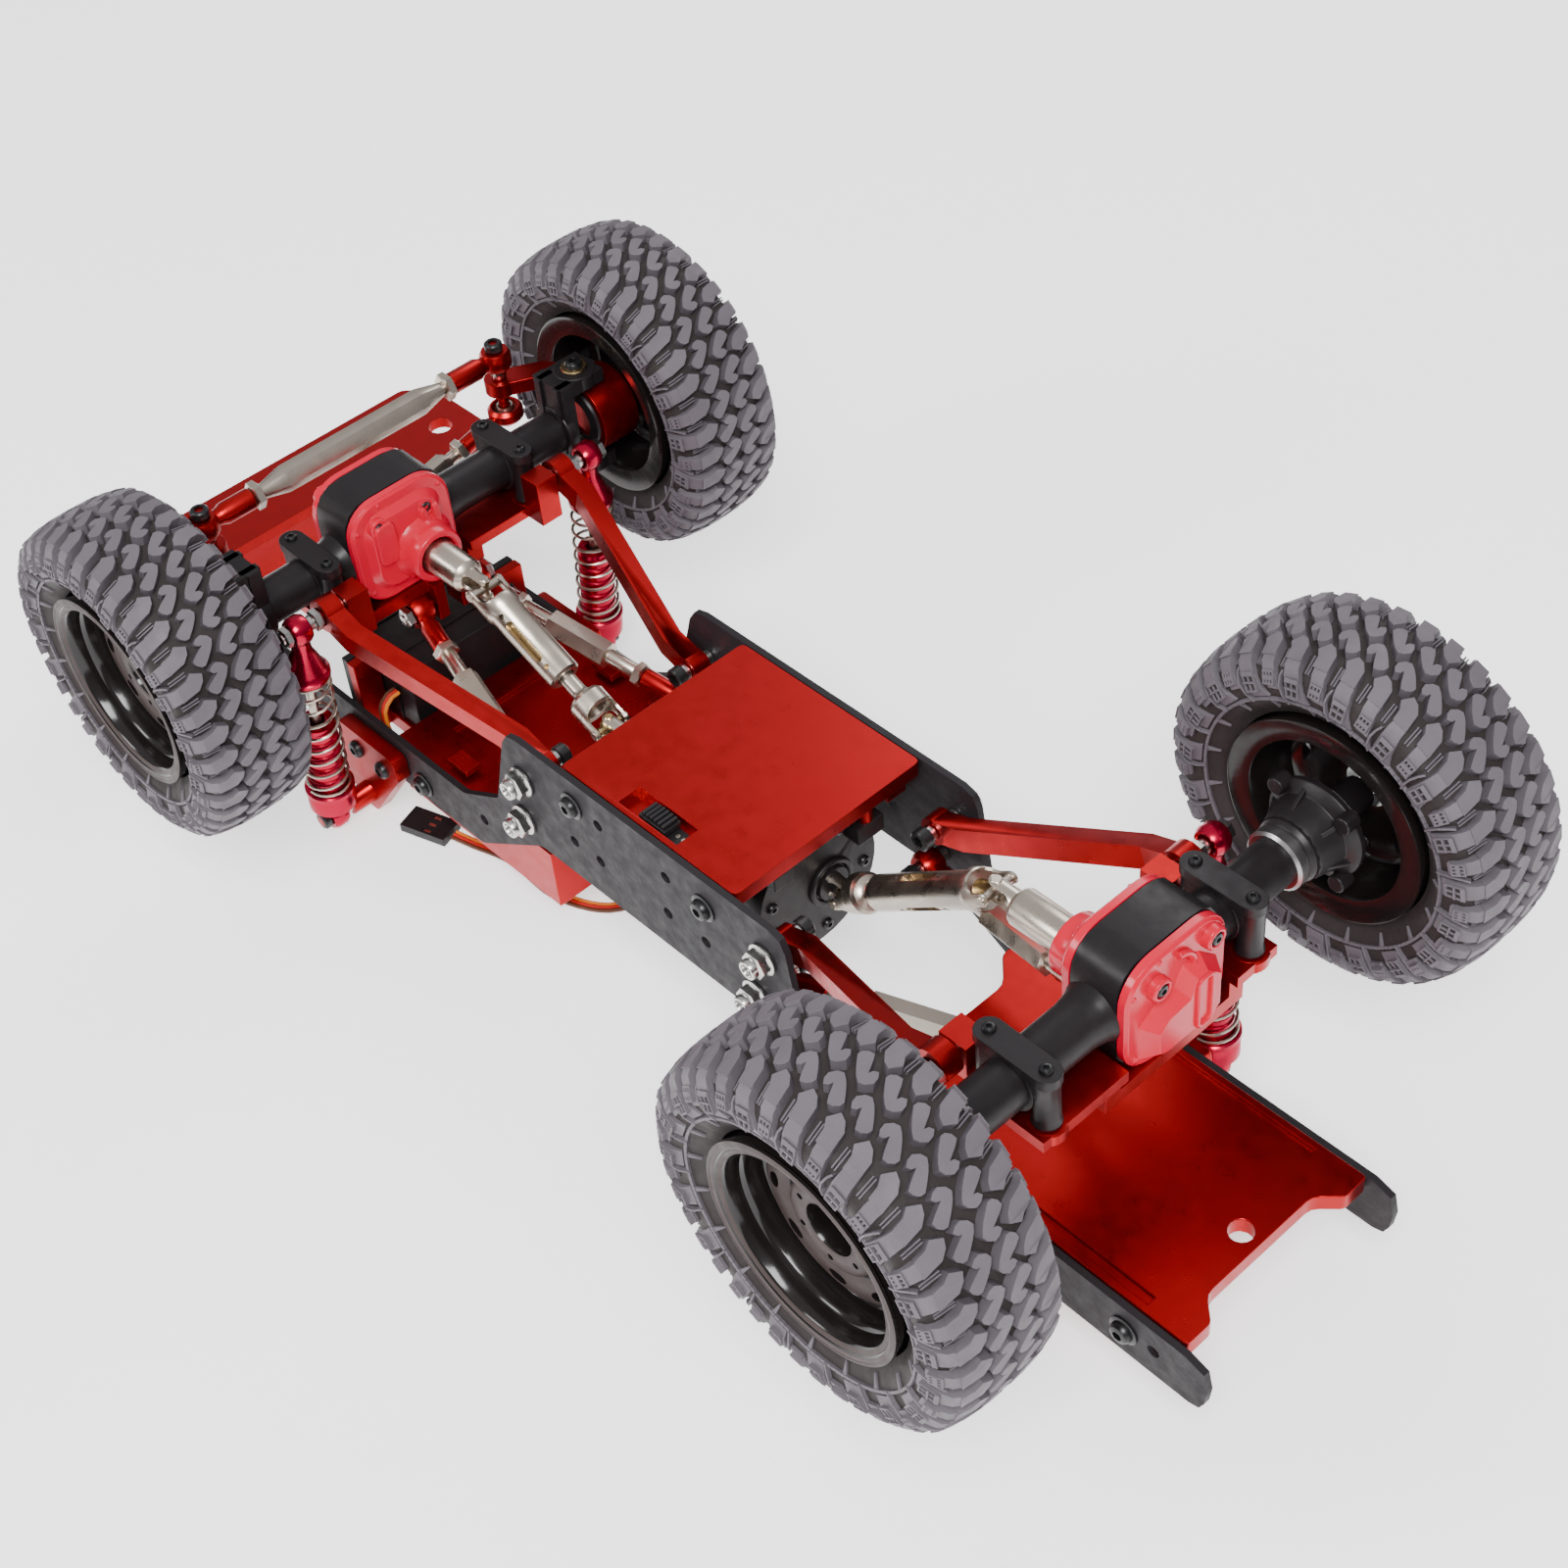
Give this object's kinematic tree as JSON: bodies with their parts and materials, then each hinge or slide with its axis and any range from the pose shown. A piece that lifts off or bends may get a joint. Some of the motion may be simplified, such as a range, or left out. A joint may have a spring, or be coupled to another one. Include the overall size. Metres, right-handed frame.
{
  "type": "four wheel robot chassis",
  "caption": "Ladder-frame crawler robot chassis with solid axles, sprung link suspension, steering and large treaded tyres, stored belly up.",
  "frame": {"origin": "middle of the box's bottom: on the bench that the four shock towers' tips stand on, on the centre plane between the two rails", "axes": "+X to the front axle, +Y to the vehicle's right side, +Z out of its belly. It lies on its back; turned 180 degrees about X it stands on its wheels."},
  "size_m": [0.3921, 0.1804, 0.1235],
  "materials": {
    "rail_powder_coat": "fine-textured black powder coat",
    "red_anodised": "bright red anodised aluminium",
    "cover_pink": "glossy pink-red paint",
    "shock_magenta": "magenta-red anodised aluminium",
    "axle_black": "satin black paint",
    "black_plastic": "black moulded plastic",
    "rim_black": "gloss black moulded rim",
    "nickel": "bright nickel-plated steel",
    "motor_can": "plain steel can",
    "tyre_rubber": "soft matt black rubber",
    "lead_pvc": "three-colour insulated ribbon lead"
  },
  "bodies": {
    "chassis": {"rail_right": "rail_powder_coat", "rail_left": "rail_powder_coat", "skid_plate": "red_anodised", "front_tray": "red_anodised", "front_beam": "red_anodised", "rear_tray": "red_anodised", "shock_tower_front_right": "red_anodised", "shock_tower_front_left": "red_anodised", "shock_tower_rear_right": "red_anodised", "shock_tower_rear_left": "red_anodised", "gearbox_case": "axle_black", "drive_motor": "motor_can", "steering_servo": "black_plastic", "servo_lead": "lead_pvc", "servo_plug": "black_plastic"},
    "power_switch": {"switch_slider": "black_plastic"},
    "front_axle": {"front_axle_housing": "axle_black", "front_pinion_cover": "cover_pink", "front_back_cover": "cover_pink", "front_truss": "red_anodised"},
    "lower_link_front_right": {"lower_link_front_right": "red_anodised"},
    "lower_link_front_left": {"lower_link_front_left": "red_anodised"},
    "upper_link_front_right": {"upper_link_front_right": "nickel"},
    "upper_link_front_left": {"upper_link_front_left": "nickel"},
    "shock_body_front_right": {"shock_body_front_right": "shock_magenta"},
    "shock_shaft_front_right": {"shock_shaft_front_right": "shock_magenta"},
    "shock_body_front_left": {"shock_body_front_left": "shock_magenta"},
    "shock_shaft_front_left": {"shock_shaft_front_left": "shock_magenta"},
    "front_shaft_spider": {"front_shaft_spider": "nickel"},
    "front_shaft_rod": {"front_shaft_rod": "nickel"},
    "front_shaft_sleeve": {"front_shaft_sleeve": "nickel"},
    "rear_axle": {"rear_axle_housing": "axle_black", "rear_pinion_cover": "cover_pink", "rear_back_cover": "cover_pink", "rear_truss": "red_anodised"},
    "lower_link_rear_right": {"lower_link_rear_right": "red_anodised"},
    "lower_link_rear_left": {"lower_link_rear_left": "red_anodised"},
    "upper_link_rear_right": {"upper_link_rear_right": "nickel"},
    "upper_link_rear_left": {"upper_link_rear_left": "nickel"},
    "shock_body_rear_right": {"shock_body_rear_right": "shock_magenta"},
    "shock_shaft_rear_right": {"shock_shaft_rear_right": "shock_magenta"},
    "shock_body_rear_left": {"shock_body_rear_left": "shock_magenta"},
    "shock_shaft_rear_left": {"shock_shaft_rear_left": "shock_magenta"},
    "rear_shaft_spider": {"rear_shaft_spider": "nickel"},
    "rear_shaft_rod": {"rear_shaft_rod": "nickel"},
    "rear_shaft_sleeve": {"rear_shaft_sleeve": "nickel"},
    "knuckle_right": {"knuckle_right": "red_anodised"},
    "knuckle_left": {"knuckle_left": "red_anodised"},
    "tie_rod": {"tie_rod": "nickel"},
    "drag_link_ball": {"drag_link_ball": "nickel"},
    "drag_link": {"drag_link": "nickel"},
    "servo_horn": {"servo_horn": "red_anodised"},
    "wheel_rear_left": {"tyre_rear_left": "tyre_rubber", "rim_rear_left": "rim_black"},
    "wheel_rear_right": {"tyre_rear_right": "tyre_rubber", "rim_rear_right": "rim_black"},
    "wheel_front_left": {"tyre_front_left": "tyre_rubber", "rim_front_left": "rim_black"},
    "wheel_front_right": {"tyre_front_right": "tyre_rubber", "rim_front_right": "rim_black"}
  },
  "joints": [
    {"name": "switch_slide", "type": "slide", "parent": "chassis", "child": "power_switch", "axis": [-1, 0, 0], "range_m": [0, 0.0042]},
    {"name": "front_travel", "type": "slide", "parent": "chassis", "child": "front_axle", "axis": [-0.2489, 0, 0.9685], "range_m": [-0.005, 0.005], "stiffness_N_per_m": 3000, "springref_m": 0.0006},
    {"name": "lower_link_front_right_pivot", "type": "hinge", "parent": "chassis", "child": "lower_link_front_right", "pos_m": [0.0145, 0.024, 0.054], "axis": [0, 1, 0], "range_deg": [-4.52, 4.52]},
    {"name": "lower_link_front_left_pivot", "type": "hinge", "parent": "chassis", "child": "lower_link_front_left", "pos_m": [0.0145, -0.024, 0.054], "axis": [0, 1, 0], "range_deg": [-4.52, 4.52]},
    {"name": "upper_link_front_right_pivot", "type": "hinge", "parent": "chassis", "child": "upper_link_front_right", "pos_m": [0.017, 0.0235, 0.0395], "axis": [0, 1, 0], "range_deg": [-4.4, 4.4]},
    {"name": "upper_link_front_left_pivot", "type": "hinge", "parent": "chassis", "child": "upper_link_front_left", "pos_m": [0.017, -0.0235, 0.0395], "axis": [0, 1, 0], "range_deg": [-4.4, 4.4]},
    {"name": "shock_front_right_tilt", "type": "hinge", "parent": "chassis", "child": "shock_body_front_right", "pos_m": [0.086, 0.0458, 0.006], "axis": [0, 1, 0], "range_deg": [-0.63, 0.63]},
    {"name": "shock_front_right_stroke", "type": "slide", "parent": "shock_body_front_right", "child": "shock_shaft_front_right", "axis": [-0.1168, 0, 0.9932], "range_m": [-0.0052, 0.0052]},
    {"name": "shock_front_left_tilt", "type": "hinge", "parent": "chassis", "child": "shock_body_front_left", "pos_m": [0.086, -0.0458, 0.006], "axis": [0, 1, 0], "range_deg": [-0.63, 0.63]},
    {"name": "shock_front_left_stroke", "type": "slide", "parent": "shock_body_front_left", "child": "shock_shaft_front_left", "axis": [-0.1168, 0, 0.9932], "range_m": [-0.0052, 0.0052]},
    {"name": "front_shaft_tilt", "type": "hinge", "parent": "chassis", "child": "front_shaft_spider", "pos_m": [0.013, 0.0045, 0.0545], "axis": [0, 1, 0], "range_deg": [-6.22, 6.22]},
    {"name": "front_shaft_spin", "type": "hinge", "parent": "front_shaft_spider", "child": "front_shaft_rod", "pos_m": [0.013, 0.0045, 0.0545], "axis": [0.9218, 0, 0.3876], "continuous": true},
    {"name": "front_shaft_slide", "type": "slide", "parent": "front_shaft_rod", "child": "front_shaft_sleeve", "axis": [0.9218, 0, 0.3876], "range_m": [-0.00081, 0.00081]},
    {"name": "rear_travel", "type": "slide", "parent": "chassis", "child": "rear_axle", "axis": [0.277, 0, 0.9609], "range_m": [-0.005, 0.005], "stiffness_N_per_m": 3000, "springref_m": 0.0006},
    {"name": "lower_link_rear_right_pivot", "type": "hinge", "parent": "chassis", "child": "lower_link_rear_right", "pos_m": [-0.07, 0.024, 0.056], "axis": [0, 1, 0], "range_deg": [-4.68, 4.68]},
    {"name": "lower_link_rear_left_pivot", "type": "hinge", "parent": "chassis", "child": "lower_link_rear_left", "pos_m": [-0.07, -0.024, 0.056], "axis": [0, 1, 0], "range_deg": [-4.68, 4.68]},
    {"name": "upper_link_rear_right_pivot", "type": "hinge", "parent": "chassis", "child": "upper_link_rear_right", "pos_m": [-0.066, 0.0235, 0.041], "axis": [0, 1, 0], "range_deg": [-4.11, 4.11]},
    {"name": "upper_link_rear_left_pivot", "type": "hinge", "parent": "chassis", "child": "upper_link_rear_left", "pos_m": [-0.066, -0.0235, 0.041], "axis": [0, 1, 0], "range_deg": [-4.11, 4.11]},
    {"name": "shock_rear_right_tilt", "type": "hinge", "parent": "chassis", "child": "shock_body_rear_right", "pos_m": [-0.134, 0.0458, 0.006], "axis": [0, 1, 0], "range_deg": [-1.01, 1.01]},
    {"name": "shock_rear_right_stroke", "type": "slide", "parent": "shock_body_rear_right", "child": "shock_shaft_rear_right", "axis": [0.0489, 0, 0.9988], "range_m": [-0.00511, 0.00511]},
    {"name": "shock_rear_left_tilt", "type": "hinge", "parent": "chassis", "child": "shock_body_rear_left", "pos_m": [-0.134, -0.0458, 0.006], "axis": [0, 1, 0], "range_deg": [-1.01, 1.01]},
    {"name": "shock_rear_left_stroke", "type": "slide", "parent": "shock_body_rear_left", "child": "shock_shaft_rear_left", "axis": [0.0489, 0, 0.9988], "range_m": [-0.00511, 0.00511]},
    {"name": "rear_shaft_tilt", "type": "hinge", "parent": "chassis", "child": "rear_shaft_spider", "pos_m": [-0.06, -0.0035, 0.0425], "axis": [0, 1, 0], "range_deg": [-4.66, 4.66]},
    {"name": "rear_shaft_spin", "type": "hinge", "parent": "rear_shaft_spider", "child": "rear_shaft_rod", "pos_m": [-0.06, -0.0035, 0.0425], "axis": [-0.796, 0, 0.6053], "continuous": true},
    {"name": "rear_shaft_slide", "type": "slide", "parent": "rear_shaft_rod", "child": "rear_shaft_sleeve", "axis": [-0.796, 0, 0.6053], "range_m": [-0.00193, 0.00193]},
    {"name": "steer", "type": "hinge", "parent": "front_axle", "child": "knuckle_left", "pos_m": [0.0925, -0.056, 0.074], "axis": [0, 0, 1], "range_deg": [-20, 20]},
    {"name": "steer_right", "type": "hinge", "parent": "front_axle", "child": "knuckle_right", "pos_m": [0.0925, 0.056, 0.074], "axis": [0, 0, 1], "range_deg": [-20.1, 20.1]},
    {"name": "tie_rod_pivot", "type": "hinge", "parent": "knuckle_left", "child": "tie_rod", "pos_m": [0.113, -0.046, 0.088], "axis": [0, 0, 1], "range_deg": [-24.6, 24.6]},
    {"name": "drag_link_swing", "type": "hinge", "parent": "knuckle_left", "child": "drag_link_ball", "pos_m": [0.113, -0.046, 0.071], "axis": [0, 0, 1], "range_deg": [-23.7, 23.7]},
    {"name": "drag_link_tilt", "type": "hinge", "parent": "drag_link_ball", "child": "drag_link", "pos_m": [0.113, -0.046, 0.071], "axis": [1, 0, 0], "range_deg": [-4.98, 4.98]},
    {"name": "servo_turn", "type": "hinge", "parent": "chassis", "child": "servo_horn", "pos_m": [0.105, 0.012, 0.033], "axis": [1, 0, 0], "range_deg": [-17.3, 17.3]},
    {"name": "drive", "type": "hinge", "parent": "rear_axle", "child": "wheel_rear_left", "pos_m": [-0.146, -0.075, 0.081], "axis": [0, 1, 0], "continuous": true},
    {"name": "wheel_rear_right_spin", "type": "hinge", "parent": "rear_axle", "child": "wheel_rear_right", "pos_m": [-0.146, 0.075, 0.081], "axis": [0, 1, 0], "continuous": true},
    {"name": "wheel_front_left_spin", "type": "hinge", "parent": "knuckle_left", "child": "wheel_front_left", "pos_m": [0.0925, -0.075, 0.074], "axis": [0, 1, 0], "continuous": true},
    {"name": "wheel_front_right_spin", "type": "hinge", "parent": "knuckle_right", "child": "wheel_front_right", "pos_m": [0.0925, 0.075, 0.074], "axis": [0, 1, 0], "continuous": true}
  ],
  "couplings": [
    {"joint": "lower_link_front_right_pivot", "follows": "front_travel", "rad_per_m": -14.999},
    {"joint": "lower_link_front_left_pivot", "follows": "front_travel", "rad_per_m": -14.999},
    {"joint": "upper_link_front_right_pivot", "follows": "front_travel", "rad_per_m": -14.611},
    {"joint": "upper_link_front_left_pivot", "follows": "front_travel", "rad_per_m": -14.611},
    {"joint": "shock_front_right_tilt", "follows": "front_travel", "rad_per_m": -1.9572},
    {"joint": "shock_front_right_stroke", "follows": "front_travel", "ratio": 0.99098},
    {"joint": "shock_front_left_tilt", "follows": "front_travel", "rad_per_m": -1.9572},
    {"joint": "shock_front_left_stroke", "follows": "front_travel", "ratio": 0.99098},
    {"joint": "front_shaft_tilt", "follows": "front_travel", "rad_per_m": -20.726},
    {"joint": "front_shaft_spin", "follows": "drive", "ratio": 2.92},
    {"joint": "front_shaft_slide", "follows": "front_travel", "ratio": 0.14597},
    {"joint": "lower_link_rear_right_pivot", "follows": "rear_travel", "rad_per_m": 15.546},
    {"joint": "lower_link_rear_left_pivot", "follows": "rear_travel", "rad_per_m": 15.546},
    {"joint": "upper_link_rear_right_pivot", "follows": "rear_travel", "rad_per_m": 13.624},
    {"joint": "upper_link_rear_left_pivot", "follows": "rear_travel", "rad_per_m": 13.624},
    {"joint": "shock_rear_right_tilt", "follows": "rear_travel", "rad_per_m": 3.2081},
    {"joint": "shock_rear_right_stroke", "follows": "rear_travel", "ratio": 0.97327},
    {"joint": "shock_rear_left_tilt", "follows": "rear_travel", "rad_per_m": 3.2081},
    {"joint": "shock_rear_left_stroke", "follows": "rear_travel", "ratio": 0.97327},
    {"joint": "rear_shaft_tilt", "follows": "rear_travel", "rad_per_m": 15.464},
    {"joint": "rear_shaft_spin", "follows": "drive", "ratio": -2.92},
    {"joint": "rear_shaft_slide", "follows": "rear_travel", "ratio": 0.36115},
    {"joint": "steer_right", "follows": "steer", "ratio": 1},
    {"joint": "tie_rod_pivot", "follows": "steer", "ratio": -1.212},
    {"joint": "drag_link_swing", "follows": "steer", "ratio": -1.17},
    {"joint": "drag_link_tilt", "follows": "front_travel", "rad_per_m": -16.699},
    {"joint": "servo_turn", "follows": "steer", "ratio": -0.85417},
    {"joint": "wheel_rear_right_spin", "follows": "drive", "ratio": 1},
    {"joint": "wheel_front_left_spin", "follows": "drive", "ratio": 1},
    {"joint": "wheel_front_right_spin", "follows": "drive", "ratio": 1}
  ]
}
